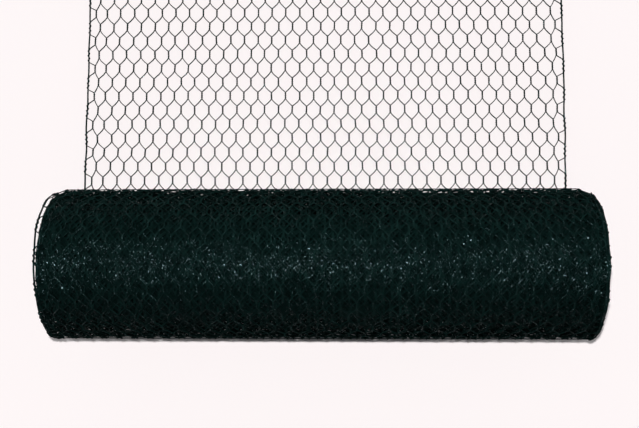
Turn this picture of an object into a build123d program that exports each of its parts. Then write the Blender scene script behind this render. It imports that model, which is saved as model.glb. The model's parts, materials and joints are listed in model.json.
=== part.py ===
"""A roll of hexagonal wire netting lying on its side, with its last stretch unrolled flat behind it.

Millimetres, +Z up, floor at Z 0. X runs across the netting, parallel to the coil's axis, and the unrolled
tail lies towards +Y. The origin is the centre of the bounding box's bottom face.
The netting is one woven sheet. Its wound turns are one turned solid with the bore through it. Its tail is an
openwork sheet, with every hexagonal mesh and both selvedges, in as many equal lengths as its crossings need.
"""

from build123d import *
import math
import os

# The roll
net_width = 900.0  # over both selvedges
coil_diameter = 258.0  # over the outermost turn
bore_diameter = 80.0  # left open by the mandrel that the netting was wound on

# The netting
mesh_size = 26.3  # from one twist to the next across the sheet, centre to centre
row_pitch = 26.9  # from one row of twists to the next along the sheet
twist_length = 12.7  # where two wires are wound round each other
twist_width = 2.1
wire_width = 1.15  # coated wire, in the slanted sides of a mesh
selvedge_width = 2.6  # edge cord of two heavier wires
net_thickness = 2.4
short_edge_gap = 12.5  # from a selvedge's centre line to the nearest twist, in every other row
long_edge_gap = 20.7  # the same in the rows between
edge_rise = 5.0  # how far an edge wire climbs from its twist to the selvedge
edge_drop = 8.0  # how far the other edge wire falls

# The tail
tail_rows = 20  # rows of twists from the coil's lowest line to the cut end
most_crossings = 400  # in one length of the tail

# The turns on the coil's ends
turn_pitch = 1.9  # radial growth for each turn
turns_per_ridge = 6
groove_width = 4.0
groove_depth = 3.0
groove_run_out = 1.0  # how far a groove's cutter stands out of the end face

# What follows from the sizes above
coil_radius = coil_diameter / 2
bore_radius = bore_diameter / 2
selvedge_span = net_width - selvedge_width  # between the selvedges' centre lines
mesh_count = round((selvedge_span - 2 * long_edge_gap) / mesh_size + 1.5)  # twists in one row
column_pitch = (selvedge_span - 2 * long_edge_gap) / (mesh_count - 1.5)
tail_reach = tail_rows * row_pitch + twist_length / 2  # from the coil's lowest line to the cut end
axis_y = (coil_radius - tail_reach) / 2  # centres the whole length on Y 0
peel_length = math.sqrt(coil_radius**2 - (coil_radius - net_thickness) ** 2)
first_row = math.ceil(peel_length / row_pitch)  # first row that lies clear of the coil


def row_y(row):
    """Y of the middle of a row of twists."""
    return axis_y + row * row_pitch


def starts_short(row):
    """Whether a row's first twist, at -X, is the one close to its selvedge."""
    return row % 2 == 0


def twist_columns(row):
    """X of every twist in a row, from -X to +X. The rows are staggered, and mirror each other."""
    regular = [long_edge_gap + i * column_pitch for i in range(mesh_count - 1)]
    from_left = regular + [selvedge_span - short_edge_gap]
    if starts_short(row):
        from_left = [selvedge_span - x for x in reversed(from_left)]
    return [x - selvedge_span / 2 for x in from_left]


def inset(corners, half_widths):
    """The open polygon left inside a ring of bars, given by centre line and half width, anticlockwise."""
    sides = []
    for i, (start, half) in enumerate(zip(corners, half_widths)):
        end = corners[(i + 1) % len(corners)]
        along = Vector(end[0] - start[0], end[1] - start[1]).normalized()
        inward = Vector(-along.Y, along.X)
        sides.append((Vector(*start) + inward * half, along))
    points = []
    for i, (point, along) in enumerate(sides):
        before, before_along = sides[i - 1]
        turn = before_along.X * along.Y - before_along.Y * along.X
        gap = point - before
        reach = (gap.X * along.Y - gap.Y * along.X) / turn
        meet = before + before_along * reach
        points.append((meet.X, meet.Y))
    return points


def inner_mesh(row, column):
    """The hexagonal opening between two neighbouring twists of a row."""
    left, right = twist_columns(row)[column : column + 2]
    apex_column = column + 1 if starts_short(row + 1) else column
    apex = twist_columns(row + 1)[apex_column]
    low, high = row_y(row) - twist_length / 2, row_y(row) + twist_length / 2
    foot = row_y(row - 1) + twist_length / 2
    top = row_y(row + 1) - twist_length / 2
    corners = [(apex, foot), (right, low), (right, high), (apex, top), (left, high), (left, low)]
    bars = [wire_width, twist_width, wire_width, wire_width, twist_width, wire_width]
    return inset(corners, [width / 2 for width in bars])


def left_edge_mesh(row):
    """The opening between the -X selvedge and a row's first twist."""
    edge = -selvedge_span / 2
    first = twist_columns(row)[0]
    low, high = row_y(row) - twist_length / 2, row_y(row) + twist_length / 2
    if starts_short(row):
        corners = [(edge, low - edge_drop), (first, low), (first, high), (edge, high + edge_rise)]
        bars = [wire_width, twist_width, wire_width, selvedge_width]
    else:
        near = twist_columns(row - 1)[0]
        foot = row_y(row - 1) + twist_length / 2
        top = row_y(row + 1) - twist_length / 2
        corners = [
            (edge, foot + edge_rise),
            (near, foot),
            (first, low),
            (first, high),
            (near, top),
            (edge, top - edge_drop),
        ]
        bars = [wire_width, wire_width, twist_width, wire_width, wire_width, selvedge_width]
    return inset(corners, [width / 2 for width in bars])


def right_edge_mesh(row):
    """The opening between a row's last twist and the +X selvedge: the next row's left one, mirrored."""
    shift = row_y(row) - row_y(row + 1)
    return [(-x, y + shift) for x, y in reversed(left_edge_mesh(row + 1))]


def row_meshes(row):
    """Every opening of a row, from -X to +X."""
    inner = [inner_mesh(row, column) for column in range(mesh_count - 1)]
    return [left_edge_mesh(row)] + inner + [right_edge_mesh(row)]


def comb(row, side, cut):
    """The edge of the sheet where it is cut across a row of twists, from -X to +X.

    side is 1 for the half of the row's openings above its middle, and -1 for the half below. cut is the
    cut's own Y.
    """
    points = [(-net_width / 2, cut)]
    for mesh in row_meshes(row):
        half = [p for p in mesh if (p[1] - row_y(row)) * side > 0]
        half.sort()
        points += [(half[0][0], cut)] + half + [(half[-1][0], cut)]
    return points + [(net_width / 2, cut)]


def tail_length(low_row, high_row, high_cut):
    """One length of the tail, from the middle of one row of twists to a cut at another."""
    outline = comb(low_row, 1, row_y(low_row)) + comb(high_row, -1, high_cut)[::-1]
    openings = [mesh for row in range(low_row + 1, high_row) for mesh in row_meshes(row)]
    holes = [Wire.make_polygon(mesh, close=True) for mesh in openings]
    sheet = Face(Wire.make_polygon(outline, close=True), holes)
    return extrude(sheet, amount=net_thickness, dir=(0, 0, 1))


def turned_grooves():
    """The hollows between the bundles of turns, on both ends of the coil."""
    ridges = round((coil_radius - bore_radius) / (turns_per_ridge * turn_pitch))
    ridge_pitch = (coil_radius - bore_radius) / ridges
    cutters = []
    for end in (-1, 1):
        face, outside = end * net_width / 2, end * (net_width / 2 + groove_run_out)
        for ridge in range(1, ridges):
            middle = bore_radius + ridge * ridge_pitch
            low, high = middle - groove_width / 2, middle + groove_width / 2
            profile = [
                (outside, low),
                (face, low),
                (face - end * groove_depth, middle),
                (face, high),
                (outside, high),
            ]
            wire = Wire.make_polygon([(x, axis_y + r, coil_radius) for x, r in profile], close=True)
            cutters.append(revolve(Face(wire), axis=Axis((0, axis_y, coil_radius), (1, 0, 0))))
    return cutters


def coil():
    """The wound turns, with the outermost one peeling off along the floor as far as the tail's first row."""
    lowest = (0, axis_y, 0)
    peel = (0, axis_y + peel_length, net_thickness)
    lip_top = (0, row_y(first_row), net_thickness)
    lip_foot = (0, row_y(first_row), 0)
    outline = Wire(
        [
            Edge.make_three_point_arc(peel, (0, axis_y, coil_diameter), lowest),
            Edge.make_line(lowest, lip_foot),
            Edge.make_line(lip_foot, lip_top),
            Edge.make_line(lip_top, peel),
        ]
    )
    axis_plane = Plane(origin=(0, axis_y, coil_radius), x_dir=(0, 1, 0), z_dir=(1, 0, 0))
    bore = Wire.make_circle(bore_radius, axis_plane)
    section = Face(outline, [bore])
    body = extrude(section, amount=net_width / 2, dir=(1, 0, 0), both=True)
    return body - turned_grooves()


def tail():
    """The unrolled stretch, in equal lengths of no more crossings than one of them may have."""
    rows = tail_rows - first_row
    lengths = math.ceil(rows * mesh_count / most_crossings)
    cuts = [first_row + round(rows * i / lengths) for i in range(lengths + 1)]
    pieces = []
    for low_row, high_row in zip(cuts, cuts[1:]):
        last = high_row == tail_rows
        high_cut = row_y(high_row) + (twist_length / 2 if last else 0)
        pieces.append(tail_length(low_row, high_row, high_cut))
    return pieces


os.makedirs("parts", exist_ok=True)
export_step(coil(), "parts/coil.step")
for number, piece in enumerate(tail(), start=1):
    export_step(piece, f"parts/tail_{number}.step")
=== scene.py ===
"""Looks for a roll of green coated hexagonal wire netting: real netting, wound up and unrolled.

Metres, +Z up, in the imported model's frame: X runs across the netting, and the tail lies towards +Y.
The netting is first made flat, with x across it, s along it and z through it. s is 0 at the coil's
lowest line and grows along the tail. What has an s under 0 is then wound round the coil, turn after
turn inwards. So z points up on the tail and towards the axis in the coil.
"""

import json
import math
from collections import namedtuple

import bmesh
import bpy
import numpy as np
from mathutils import Matrix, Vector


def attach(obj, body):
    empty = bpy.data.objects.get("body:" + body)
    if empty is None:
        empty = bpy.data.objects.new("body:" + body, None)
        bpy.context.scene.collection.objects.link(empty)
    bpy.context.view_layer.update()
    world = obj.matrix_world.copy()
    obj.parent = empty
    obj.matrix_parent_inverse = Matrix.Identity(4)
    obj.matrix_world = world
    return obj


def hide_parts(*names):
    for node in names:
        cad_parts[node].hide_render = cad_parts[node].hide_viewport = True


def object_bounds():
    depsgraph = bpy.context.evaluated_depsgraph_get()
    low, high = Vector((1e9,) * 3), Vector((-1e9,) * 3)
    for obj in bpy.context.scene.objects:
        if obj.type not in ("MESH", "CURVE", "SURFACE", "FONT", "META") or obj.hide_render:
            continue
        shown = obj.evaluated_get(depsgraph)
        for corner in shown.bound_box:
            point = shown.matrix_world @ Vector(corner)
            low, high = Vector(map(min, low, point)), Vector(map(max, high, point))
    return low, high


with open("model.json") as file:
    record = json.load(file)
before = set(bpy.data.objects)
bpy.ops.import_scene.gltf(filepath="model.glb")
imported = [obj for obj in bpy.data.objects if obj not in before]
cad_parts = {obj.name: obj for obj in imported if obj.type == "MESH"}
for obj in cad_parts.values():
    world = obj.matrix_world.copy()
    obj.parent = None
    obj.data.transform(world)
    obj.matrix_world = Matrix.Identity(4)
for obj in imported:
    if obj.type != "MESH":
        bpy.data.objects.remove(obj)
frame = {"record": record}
CAD_LOW, CAD_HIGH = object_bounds()

# The coil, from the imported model
BORE = next(m for m in frame["record"]["mounts"] if m["name"] == "spindle_bore")
AXIS_Y, COIL_RADIUS = BORE["pos_m"][1:]
BORE_RADIUS = BORE["dims"]["r_mm"] / 1000
NET_WIDTH = CAD_HIGH.x - CAD_LOW.x
TAIL_REACH = CAD_HIGH.y - AXIS_Y

# The wire
WIRE_RADIUS = 0.00088
CORD_RADIUS = 0.0013  # of the selvedge's straight cord
PRESSED_IN = 0.7  # the share of its radius that a wire wound round the cord stays off it
CORD_WRAP = CORD_RADIUS + PRESSED_IN * WIRE_RADIUS  # from the cord's middle to the wound wire's
NET_HALF = 2 * WIRE_RADIUS  # half the netting's thickness, at a twist

# The weave
ROW_PITCH = 0.0269  # from one row of twists to the next
TWIST_FAR = 0.0067  # how far a twist reaches from its row's line towards the tail's free end
TWIST_NEAR = 0.008  # the same towards the coil
TWIST_TURNS = 2
COLUMNS = 34  # twists in a row
SHORT_EDGE_GAP = 0.0125  # from a selvedge to the nearest twist, in every other row
LONG_EDGE_GAP = 0.0207  # the same in the rows between
EDGE_RISE = 0.0049  # how far an edge wire climbs from its twist to the selvedge
EDGE_DROP = 0.0068  # how far it drops from its twist at the other end
WRAP_TURNS = 3  # of an edge wire round the selvedge cord, between two twists
SELVEDGE_X = NET_WIDTH / 2 - CORD_RADIUS
COLUMN_PITCH = 2 * (SELVEDGE_X - LONG_EDGE_GAP) / (COLUMNS - 1.5)  # rows are staggered by half of it
SLANT_BEND = 1.27  # above 1, a slanted side leans out of a twist's far end and runs straight into the next

# The winding
TURN_PITCH = 0.0019
CLOSING = 3  # the outer turn closes in on the next with this power of the way round, so mostly at its end
OUTER_SHIFT = 0.0056  # how far the outer turn strays towards -X at most
SHIFT_DELAY = 1.7  # above 1, it strays most past the middle of the turn
INNER_SHIFT = 0.0005  # how far the inner turns lie towards +X
WANDER = 0.0008  # uneven winding, sideways
END_SAG = 0.009  # how far both ends of the turns sag inwards at the back
SAG_LENGTH = 0.02  # of the turns' ends that sag
MIDDLE_RADIUS = COIL_RADIUS - NET_HALF  # of the outer turn, at the middle of its thickness
INNER_RADIUS = MIDDLE_RADIUS - TURN_PITCH  # where the inner turns start
INNER_TURNS = int((INNER_RADIUS - BORE_RADIUS - NET_HALF) / TURN_PITCH)
FULL_TURN = 2 * math.pi
OUTER_LENGTH = FULL_TURN * (MIDDLE_RADIUS - TURN_PITCH / (CLOSING + 1))  # of netting in the outer turn

# How uneven the netting is
WARP = 0.0006  # how far its meshes are out of shape, across and along it
INNER_BUMPS = 0.0011  # how far its wires stray through it in the inner turns, both ways
OUTER_BUMPS = 0.00025  # the same in the outer turn and the tail, towards +z only
TAIL_RISE = 0.00075  # how far the tail lies off the floor
TAIL_WAVES = 0.0005  # how much that goes up and down
RISE_LENGTH = 0.1  # of the tail, in which it comes off the floor

# How finely a stretch of netting is made: steps in a twist, a slanted side, an edge wire's wrap and a row's
# length of selvedge cord, and whether the wire has all of its sides
Detail = namedtuple("Detail", "twist slant wrap cord closed")
FINE = Detail(8, 3, 18, 4, True)
MEDIUM = Detail(4, 1, 8, 2, True)
COARSE = Detail(2, 1, 2, 2, False)
PLAIN = Detail(1, 1, 2, 1, False)
ROUND_STEPS = 4  # the fewest steps that still take a wire once round
SQUARING = 1.3  # a four-sided wire is this much wider from corner to corner, for a round one's bulk
TOUCHING = 1e-6  # points no further apart than this are one

# The coat's colour, with painted shade deep in the coil and on its -Y side
DARK_GREEN = (0.0015, 0.0058, 0.0052)
LIGHT_GREEN = (0.004, 0.0142, 0.0127)
ALL_DARK, ALL_LIGHT = 0.35, 0.7  # in the mottle, which runs from 0 to 1
SHADE_DEPTH_TURNS = 8  # painted shade: the colour gets paler over so many turns, up to the outside, and darker the deeper a turn lies
INSIDE_SHADE_FACTOR, OUTSIDE_SHADE_FACTOR = 0.68, 1.15  # times the mottled colour; the inside value paints the shade deep in the coil
FRONT_SHADE_FACTOR, BACK_LIGHT_FACTOR = 0.6, 1.4  # the same at the coil's -Y side and its +Y side: painted shade at the front, painted light at the back

# The coat's gloss. It gleams in small spots, and only where it faces the view.
GLEAM = 0.66
GLEAM_TINT = (0.6, 0.92, 1, 1)
FACING, SLANTED = 0.1, 0.65  # where it gleams fully and where it stops, as 1 less the slant's cosine
SPOT_RIM, SPOT_HEART = 0.575, 0.635  # in the glaze, which runs from 0 to 1
BETWEEN_SPOTS = 0.05  # the share of the gleam there
SMOOTH, ROUGH = 0.16, 0.24  # at the two ends of the mottle

# The coat's patterns: lumps to a metre, and finer detail. The bumps also have a depth.
Pattern = namedtuple("Pattern", "scale detail")
MOTTLE = Pattern(60, 3)
GLAZE = Pattern(430, 1)
BUMPS = ((Pattern(45, 0), 0.008), (Pattern(1400, 0), 0.00002))

# The camera
CAMERA_PLACE = (0.03794, AXIS_Y - 0.06816, 1.6454)
CAMERA_TILT, CAMERA_YAW, CAMERA_ROLL = math.radians(5.752), math.radians(1.591), math.radians(-0.091)
CAMERA_LENS = 50.06
SENSOR_WIDTH = 36.0

# The light: a lamp's name, width, share of the full light and place
KEY = ("key", 0.04, 0.895, (0.02, AXIS_Y, 1.73))
TOP = ("top", 0.25, 0.07, (0, AXIS_Y + 0.2, 5))
LAMP_COLOUR = (1.0, 0.995, 0.995)

# The studio
BACKGROUND = (0.961, 0.903, 0.903)
CEILING = (0.05, 0.056, 0.06)
WALL_END, CEILING_START = 0.05, 0.25  # the sines of their heights above the horizon
FLOOR_HALF = 30  # half its width
FLOOR_DROP = 0.0003  # keeps the floor's plane clear of the netting

random = np.random.default_rng(7)


def column_places(row):
    """X of every twist in a row of the flat netting. Even rows have their short edge gap at -X."""
    near = [-SELVEDGE_X + LONG_EDGE_GAP + i * COLUMN_PITCH for i in range(COLUMNS - 1)]
    places = near + [SELVEDGE_X - SHORT_EDGE_GAP]
    if row % 2 == 0:
        places = [-x for x in reversed(places)]
    return places


def twist_line(row, x, side, detail):
    """One of a twist's two wires. side is 1 for the wire that comes and goes at +X, and -1 for the other."""
    share = np.linspace(0, 1, detail.twist + 1)
    s = row * ROW_PITCH - TWIST_NEAR + share * (TWIST_NEAR + TWIST_FAR)
    if detail.twist < ROUND_STEPS * TWIST_TURNS:
        over_and_under = side * WIRE_RADIUS * np.cos(math.pi * np.arange(detail.twist + 1))
        return np.column_stack([np.full(len(s), x + side * WIRE_RADIUS), s, over_and_under])
    angle = FULL_TURN * TWIST_TURNS * share + (0 if side > 0 else math.pi)
    return np.column_stack([x + WIRE_RADIUS * np.cos(angle), s, WIRE_RADIUS * np.sin(angle)])


def slant_line(start, end, detail):
    """The points between one twist's far end and the near end of one in the next row."""
    share = np.linspace(0, 1, detail.slant + 1)[1:-1]
    across = end[0] + (start[0] - end[0]) * (1 - share) ** SLANT_BEND
    along = start[1] + (end[1] - start[1]) * share
    return np.column_stack([across, along, np.zeros(len(share))])


def wrap_line(row, side, detail):
    """An edge wire's stretch round the selvedge cord, past a row that it has no twist in."""
    low = (row - 1) * ROW_PITCH + TWIST_FAR + EDGE_RISE
    high = (row + 1) * ROW_PITCH - TWIST_NEAR - EDGE_DROP
    s = np.linspace(low, high, detail.wrap + 1)
    turns = min(WRAP_TURNS, detail.wrap // ROUND_STEPS)
    angle = np.linspace(0, FULL_TURN * turns, detail.wrap + 1)
    x = side * (SELVEDGE_X - CORD_WRAP * np.cos(angle))
    return np.column_stack([x, s, CORD_WRAP * np.sin(angle)])


def clipped(line, low, high):
    """The part of a line that lies between two values of s."""
    return line[(line[:, 1] > low - TOUCHING) & (line[:, 1] < high + TOUCHING)]


def strand(rows, even, odd, detail):
    """A lengthwise wire. even and odd give its (x, side) in the twists of even and of odd rows."""
    line = []
    for row in rows:
        x, side = odd if row % 2 else even
        twist = twist_line(row, x, side, detail)
        if line:
            line.append(slant_line(line[-1][-1], twist[0], detail))
        line.append(twist)
    return np.concatenate(line)


def edge_wire(rows, side, detail):
    """The outermost wire of an edge: in the nearest twist in every other row, and round the cord between."""
    twist_parity = 0 if side < 0 else 1  # even rows reach nearest to the edge at -X
    x = side * (SELVEDGE_X - SHORT_EDGE_GAP)
    line = []
    for row in rows:
        if row % 2 == twist_parity:
            line.append(twist_line(row, x, side, detail))
        else:
            line.append(wrap_line(row, side, detail))
    return np.concatenate(line)


def cord_line(low, high, side, detail):
    """The selvedge's own straight cord."""
    steps = max(1, round((high - low) / ROW_PITCH * detail.cord))
    s = np.linspace(low, high, steps + 1)
    return np.column_stack([np.full(steps + 1, side * SELVEDGE_X), s, np.zeros(steps + 1)])


def wire_mesh(lines, radius, closed):
    """A mesh of four-sided wires along centre lines, each with a flat side up.

    One that isn't closed is only the two sides of a ridge towards -z, which is outwards in the coil.
    """
    curve = bpy.data.curves.new("wire", "CURVE")
    curve.dimensions = "3D"
    curve.twist_mode = "Z_UP"
    curve.bevel_depth = SQUARING * radius
    curve.bevel_resolution = 0
    curve.use_fill_caps = closed
    curve.fill_mode = "FULL" if closed else "HALF"
    turned = math.pi / 4 if closed else -math.pi / 2
    for line in lines:
        spline = curve.splines.new("POLY")
        spline.points.add(len(line) - 1)
        spline.points.foreach_set("co", np.column_stack([line, np.ones(len(line))]).ravel())
        spline.points.foreach_set("tilt", np.full(len(line), turned))
    carrier = bpy.data.objects.new("wire", curve)
    mesh = bpy.data.meshes.new_from_object(carrier)
    bpy.data.objects.remove(carrier)
    bpy.data.curves.remove(curve)
    return mesh


def repeated(mesh, count, step):
    """The mesh of one wire, repeated across the netting."""
    carrier = bpy.data.objects.new("repeated", mesh)
    bpy.context.collection.objects.link(carrier)
    array = carrier.modifiers.new("Across", "ARRAY")
    array.count = count
    array.use_relative_offset = False
    array.use_constant_offset = True
    array.constant_offset_displace = (step, 0, 0)
    graph = bpy.context.evaluated_depsgraph_get()
    result = bpy.data.meshes.new_from_object(carrier.evaluated_get(graph))
    bpy.data.objects.remove(carrier)
    bpy.data.meshes.remove(mesh)
    return result


def flat_netting(first_row, last_row, detail, cut_end=False):
    """A bmesh of the flat netting from the middle of one row of twists to another's, or to its far end."""
    low = first_row * ROW_PITCH
    high = last_row * ROW_PITCH + (TWIST_FAR if cut_end else 0)
    rows = range(first_row - 1, last_row + 2)
    even, odd = column_places(0), column_places(1)

    def cut(line):
        return clipped(line, low, high)

    right_going = cut(strand(rows, (even[1], 1), (odd[1], -1), detail))
    left_going = cut(strand(rows, (even[1], -1), (odd[0], 1), detail))
    singles = [
        cut(strand(rows, (even[0], 1), (odd[0], -1), detail)),
        cut(strand(rows, (even[-1], 1), (odd[-1], -1), detail)),
        cut(edge_wire(rows, -1, detail)),
        cut(edge_wire(rows, 1, detail)),
    ]
    cords = [cord_line(low, high, side, detail) for side in (-1, 1)]
    parts = [
        repeated(wire_mesh([right_going], WIRE_RADIUS, detail.closed), COLUMNS - 2, COLUMN_PITCH),
        repeated(wire_mesh([left_going], WIRE_RADIUS, detail.closed), COLUMNS - 1, COLUMN_PITCH),
        wire_mesh(singles, WIRE_RADIUS, detail.closed),
        wire_mesh(cords, CORD_RADIUS, True),
    ]
    sheet = bmesh.new()
    for part in parts:
        sheet.from_mesh(part)
        bpy.data.meshes.remove(part)
    bmesh.ops.remove_doubles(sheet, verts=sheet.verts, dist=TOUCHING)
    return sheet


def waves(count, longest, shortest):
    """A smooth random field over the flat netting, as a function of x and s. Its values are about -1 to 1."""
    lengths = random.uniform(shortest, longest, count)
    ways = random.uniform(0, FULL_TURN, count)
    phases = random.uniform(0, FULL_TURN, count)

    def field(x, s):
        total = np.zeros_like(x)
        for length, way, phase in zip(lengths, ways, phases):
            total += np.sin((x * math.cos(way) + s * math.sin(way)) * FULL_TURN / length + phase)
        return total * math.sqrt(2 / count)

    return field


# The random fields, drawn in this order: how many waves, and the longest and the shortest of them
ACROSS_WARP = waves(8, 0.16, 0.045)
ALONG_WARP = waves(8, 0.16, 0.045)
TAIL_LIFT = waves(5, 0.5, 0.2)
THROUGH_WARP = waves(16, 0.034, 0.011)
TURN_WANDER = waves(9, 1.6, 0.5)


def spiral_angle(length):
    """The angle that a length of netting covers in the inner turns."""
    shrink = TURN_PITCH / FULL_TURN
    return (INNER_RADIUS - np.sqrt(np.maximum(INNER_RADIUS**2 - 2 * shrink * length, 0))) / shrink


def spiral_length(angle):
    """The length of netting in an angle of the inner turns."""
    return INNER_RADIUS * angle - TURN_PITCH / FULL_TURN * angle**2 / 2


def warped(x, s, z):
    """The flat netting with its meshes a little out of shape and its wires not quite level."""
    bumps = THROUGH_WARP(x, s)
    off_level = np.where(s < -OUTER_LENGTH, INNER_BUMPS * bumps, OUTER_BUMPS * np.abs(bumps))
    return x + WARP * ACROSS_WARP(x, s), s + WARP * ALONG_WARP(x, s), z + off_level


def sag(x, radius, angle):
    """How far the ends of the turns sag inwards at the coil's back, less the deeper they lie."""
    end = np.clip((np.abs(x) - NET_WIDTH / 2) / SAG_LENGTH + 1, 0, 1)
    outwards = np.clip((radius - BORE_RADIUS) / (COIL_RADIUS - BORE_RADIUS), 0, 1)
    back_facing = np.clip(-np.sin(angle), 0, 1) * outwards
    return END_SAG * end**2 * back_facing**3


def sideways(s, outer_share, inner_angle):
    """How far the turns lie out of line towards +X. The inner ones reach their place in a radian."""
    settled = np.clip(inner_angle, 0, 1)
    inner = INNER_SHIFT * settled + WANDER * settled * TURN_WANDER(np.zeros_like(s), s)
    return inner - OUTER_SHIFT * np.sin(math.pi * outer_share**SHIFT_DELAY) ** 2


def wound(places):
    """Where points of the flat netting lie on the real roll."""
    x, s, z = warped(*places.T)
    back = np.maximum(-s, 0)
    outer_share = np.clip(back / OUTER_LENGTH, 0, 1)
    inner_angle = spiral_angle(np.maximum(back - OUTER_LENGTH, 0))
    angle = FULL_TURN * outer_share + inner_angle
    turns_in = outer_share**CLOSING + inner_angle / FULL_TURN
    radius = MIDDLE_RADIUS - TURN_PITCH * turns_in - z
    radius -= sag(x, radius, angle)
    lift = (TAIL_RISE + TAIL_WAVES * TAIL_LIFT(x, s)) * np.clip(s / RISE_LENGTH, 0, 1)
    on_tail = s > 0
    y = np.where(on_tail, AXIS_Y + s, AXIS_Y - radius * np.sin(angle))
    up = np.where(on_tail, NET_HALF + z + np.maximum(lift, 0), COIL_RADIUS - radius * np.cos(angle))
    return np.column_stack([x + sideways(s, outer_share, inner_angle), y, np.maximum(up, 0)])


def netting_piece(name, first_row, last_row, detail, cut_end=False):
    """A stretch of the netting in its real place, as an object at the origin."""
    sheet = flat_netting(first_row, last_row, detail, cut_end)
    mesh = bpy.data.meshes.new(name)
    sheet.to_mesh(mesh)
    sheet.free()
    flat = np.empty(len(mesh.vertices) * 3)
    mesh.vertices.foreach_get("co", flat)
    mesh.attributes.new("flat_place", "FLOAT_VECTOR", "POINT").data.foreach_set("vector", flat)
    mesh.vertices.foreach_set("co", wound(flat.reshape(-1, 3)).ravel())
    mesh.shade_smooth()
    mesh.update()
    piece = bpy.data.objects.new(name, mesh)
    bpy.context.collection.objects.link(piece)
    return piece


def row_at_turn(turn):
    """The row of twists nearest to the end of a turn, counted inwards. The outer turn is the first."""
    if turn == 0:
        return 0
    inner = spiral_length(FULL_TURN * (turn - 1))
    return -round((OUTER_LENGTH + inner) / ROW_PITCH)


def remapped(tree, source, start, end):
    """A socket that turns one range of a value into another."""
    node = tree.nodes.new("ShaderNodeMapRange")
    for name, limit in zip(("From Min", "From Max", "To Min", "To Max"), start + end):
        node.inputs[name].default_value = limit
    tree.links.new(source, node.inputs["Value"])
    return node.outputs["Result"]


def worked_out(tree, operation, *values):
    """A socket with the result of one operation on sockets or numbers."""
    node = tree.nodes.new("ShaderNodeMath")
    node.operation = operation
    for socket, value in zip(node.inputs, values):
        if isinstance(value, bpy.types.NodeSocket):
            tree.links.new(value, socket)
        else:
            socket.default_value = value
    return node.outputs[0]


def noise(tree, place, pattern):
    """A socket with a random pattern that follows a place."""
    node = tree.nodes.new("ShaderNodeTexNoise")
    node.inputs["Scale"].default_value = pattern.scale
    node.inputs["Detail"].default_value = pattern.detail
    tree.links.new(place, node.inputs["Vector"])
    return node.outputs["Fac"]


def one_axis(tree, place, axis):
    """A socket with one coordinate of a place."""
    node = tree.nodes.new("ShaderNodeSeparateXYZ")
    tree.links.new(place, node.inputs[0])
    return node.outputs[axis]


def blended(tree, source, positions, colours):
    """A socket with a colour that goes from one to another between two values of a source."""
    node = tree.nodes.new("ShaderNodeValToRGB")
    for stop, position, colour in zip(node.color_ramp.elements, positions, colours):
        stop.position = position
        stop.color = (*colour, 1)
    tree.links.new(source, node.inputs["Fac"])
    return node.outputs["Color"]


def coat_colour_and_shade(tree, mottle, place, flat_place):
    """A socket with the mottled green, with painted shade that darkens the deeper turns and the coil's -Y
    side, and painted light that lightens its +Y side, towards the tail.
    """
    green = blended(tree, mottle, (ALL_DARK, ALL_LIGHT), (DARK_GREEN, LIGHT_GREEN))
    # Painted shade: darker the deeper a turn lies in the coil, paler on the outer turns
    turns = (-SHADE_DEPTH_TURNS * OUTER_LENGTH, 0)
    outwards = remapped(tree, one_axis(tree, flat_place, "Y"), turns, (INSIDE_SHADE_FACTOR, OUTSIDE_SHADE_FACTOR))
    # Painted shade and light: darker on the coil's -Y side, paler on its +Y side
    sides = (AXIS_Y - COIL_RADIUS, AXIS_Y + COIL_RADIUS)
    side_shade = remapped(tree, one_axis(tree, place, "Y"), sides, (FRONT_SHADE_FACTOR, BACK_LIGHT_FACTOR))
    scaled = tree.nodes.new("ShaderNodeVectorMath")
    scaled.operation = "SCALE"
    tree.links.new(green, scaled.inputs[0])
    tree.links.new(worked_out(tree, "MULTIPLY", outwards, side_shade), scaled.inputs["Scale"])
    return scaled.outputs["Vector"]


def gleam(tree, flat_place):
    """A socket with how much the coat gleams."""
    slant = tree.nodes.new("ShaderNodeLayerWeight")
    facing = remapped(tree, slant.outputs["Facing"], (FACING, SLANTED), (GLEAM, 0))
    spots = remapped(tree, noise(tree, flat_place, GLAZE), (SPOT_RIM, SPOT_HEART), (BETWEEN_SPOTS, 1))
    return worked_out(tree, "MULTIPLY", facing, spots)


def uneven_skin(tree, flat_place):
    """A socket with the coat's normal, with one pattern of bumps on top of another."""
    normal = None
    for pattern, depth in BUMPS:
        bump = tree.nodes.new("ShaderNodeBump")
        bump.inputs["Distance"].default_value = depth
        tree.links.new(noise(tree, flat_place, pattern), bump.inputs["Height"])
        if normal:
            tree.links.new(normal, bump.inputs["Normal"])
        normal = bump.outputs["Normal"]
    return normal


def coated_wire():
    """Glossy dark green PVC: a little mottled, with a fine uneven skin."""
    material = bpy.data.materials.new("coated_wire")
    material.use_nodes = True
    tree = material.node_tree
    shader = tree.nodes["Principled BSDF"]
    place = tree.nodes.new("ShaderNodeTexCoord").outputs["Object"]
    attribute = tree.nodes.new("ShaderNodeAttribute")
    attribute.attribute_name = "flat_place"
    flat_place = attribute.outputs["Vector"]
    mottle = noise(tree, place, MOTTLE)
    roughness = remapped(tree, mottle, (0, 1), (SMOOTH, ROUGH))
    tree.links.new(coat_colour_and_shade(tree, mottle, place, flat_place), shader.inputs["Base Color"])
    tree.links.new(gleam(tree, flat_place), shader.inputs["Specular IOR Level"])
    tree.links.new(roughness, shader.inputs["Roughness"])
    tree.links.new(uneven_skin(tree, flat_place), shader.inputs["Normal"])
    shader.inputs["Specular Tint"].default_value = GLEAM_TINT
    return material


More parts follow.
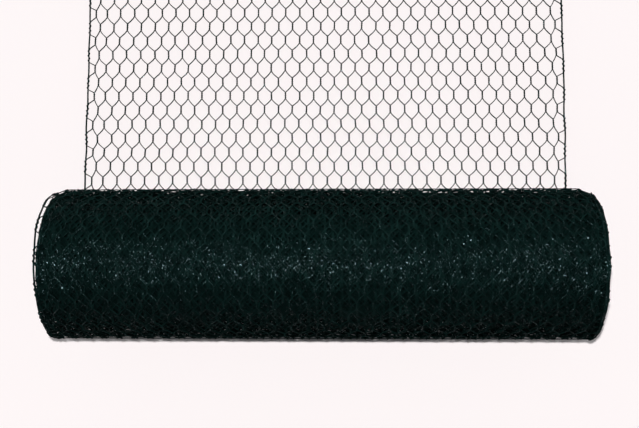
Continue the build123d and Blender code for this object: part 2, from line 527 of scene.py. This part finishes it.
def lamp_loss(tree, lamp):
    """A socket with how much less of a lamp reaches a place on the floor than the place right below it.

    The share that reaches it is the lamp's height over its distance, to the fourth power.
    """
    _, _, share, (x, y, height) = lamp
    place = tree.nodes.new("ShaderNodeTexCoord")
    away = tree.nodes.new("ShaderNodeVectorMath")
    away.operation = "SUBTRACT"
    away.inputs[1].default_value = (x, y, height)
    tree.links.new(place.outputs["Object"], away.inputs[0])
    squared = tree.nodes.new("ShaderNodeVectorMath")
    squared.operation = "DOT_PRODUCT"
    tree.links.new(away.outputs[0], squared.inputs[0])
    tree.links.new(away.outputs[0], squared.inputs[1])
    fall = worked_out(tree, "DIVIDE", height**2, squared.outputs["Value"])
    reaching = worked_out(tree, "POWER", fall, 2)
    return worked_out(tree, "MULTIPLY_ADD", reaching, -share, share)


def pale_floor():
    """A pale floor. It glows a little away from the middle, where the lamps reach it less."""
    material = bpy.data.materials.new("pale_floor")
    material.use_nodes = True
    tree = material.node_tree
    shader = tree.nodes["Principled BSDF"]
    shader.inputs["Base Color"].default_value = (*BACKGROUND, 1)
    shader.inputs["Roughness"].default_value = 1
    shader.inputs["Specular IOR Level"].default_value = 0
    shader.inputs["Emission Color"].default_value = (*BACKGROUND, 1)
    glow = worked_out(tree, "ADD", lamp_loss(tree, KEY), lamp_loss(tree, TOP))
    tree.links.new(glow, shader.inputs["Emission Strength"])
    return material


def add_floor():
    """The plain floor that the roll lies on."""
    mesh = bpy.data.meshes.new("floor")
    plane = bmesh.new()
    bmesh.ops.create_grid(plane, x_segments=1, y_segments=1, size=FLOOR_HALF)
    bmesh.ops.translate(plane, verts=plane.verts, vec=(0, 0, -FLOOR_DROP))
    plane.to_mesh(mesh)
    plane.free()
    mesh.materials.append(pale_floor())
    floor = bpy.data.objects.new("floor", mesh)
    bpy.context.collection.objects.link(floor)


def add_world():
    """A studio with pale walls and a dim ceiling."""
    world = bpy.data.worlds.new("studio")
    bpy.context.scene.world = world
    world.use_nodes = True
    tree = world.node_tree
    place = tree.nodes.new("ShaderNodeTexCoord")
    height = one_axis(tree, place.outputs["Generated"], "Z")
    colour = blended(tree, height, (WALL_END, CEILING_START), (BACKGROUND, CEILING))
    tree.links.new(colour, tree.nodes["Background"].inputs["Color"])


def add_lamp(name, size, share, place):
    """A round soft lamp that shines straight down, and gives its share of the full light below it."""
    lamp = bpy.data.lights.new(name, "AREA")
    lamp.shape = "DISK"
    lamp.size = size
    lamp.energy = share * (math.pi * place[2]) ** 2
    lamp.color = LAMP_COLOUR
    holder = bpy.data.objects.new(name, lamp)
    holder.location = place
    bpy.context.collection.objects.link(holder)


def add_camera():
    """The camera, looking nearly straight down on the coil and the start of the tail."""
    lens = bpy.data.cameras.new("camera")
    lens.sensor_width = SENSOR_WIDTH
    lens.lens = CAMERA_LENS
    camera = bpy.data.objects.new("camera", lens)
    turned = (
        Matrix.Rotation(CAMERA_TILT, 4, "X")
        @ Matrix.Rotation(CAMERA_YAW, 4, "Y")
        @ Matrix.Rotation(CAMERA_ROLL, 4, "Z")
    )
    camera.matrix_world = Matrix.Translation(CAMERA_PLACE) @ turned
    bpy.context.collection.objects.link(camera)
    bpy.context.scene.camera = camera


def add_netting():
    """All of the netting, finer where it shows more."""
    # A name, the turns that a stretch runs between, counted inwards, and how finely it is made
    stretches = [
        ("netting_outer_turn", 0, 1, FINE),
        ("netting_second_turn", 1, 2, MEDIUM),
        ("netting_third_turn", 2, 3, MEDIUM),
        ("netting_outer_turns", 3, 11, COARSE),
        ("netting_middle_turns", 11, 26, PLAIN),
        ("netting_inner_turns", 26, INNER_TURNS + 1, PLAIN),
    ]
    last_row = int(TAIL_REACH / ROW_PITCH)
    pieces = [netting_piece("netting_tail", 0, last_row, FINE, cut_end=True)]
    for name, start, end, detail in stretches:
        pieces.append(netting_piece(name, row_at_turn(end), row_at_turn(start), detail))
    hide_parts("tail_1", "tail_2")
    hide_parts("coil")
    green = coated_wire()
    for piece in pieces:
        piece.data.materials.append(green)
        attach(piece, "root")


add_netting()
add_floor()
add_world()
add_lamp(*KEY)
add_lamp(*TOP)
add_camera()
bpy.context.scene.view_settings.view_transform = "Standard"
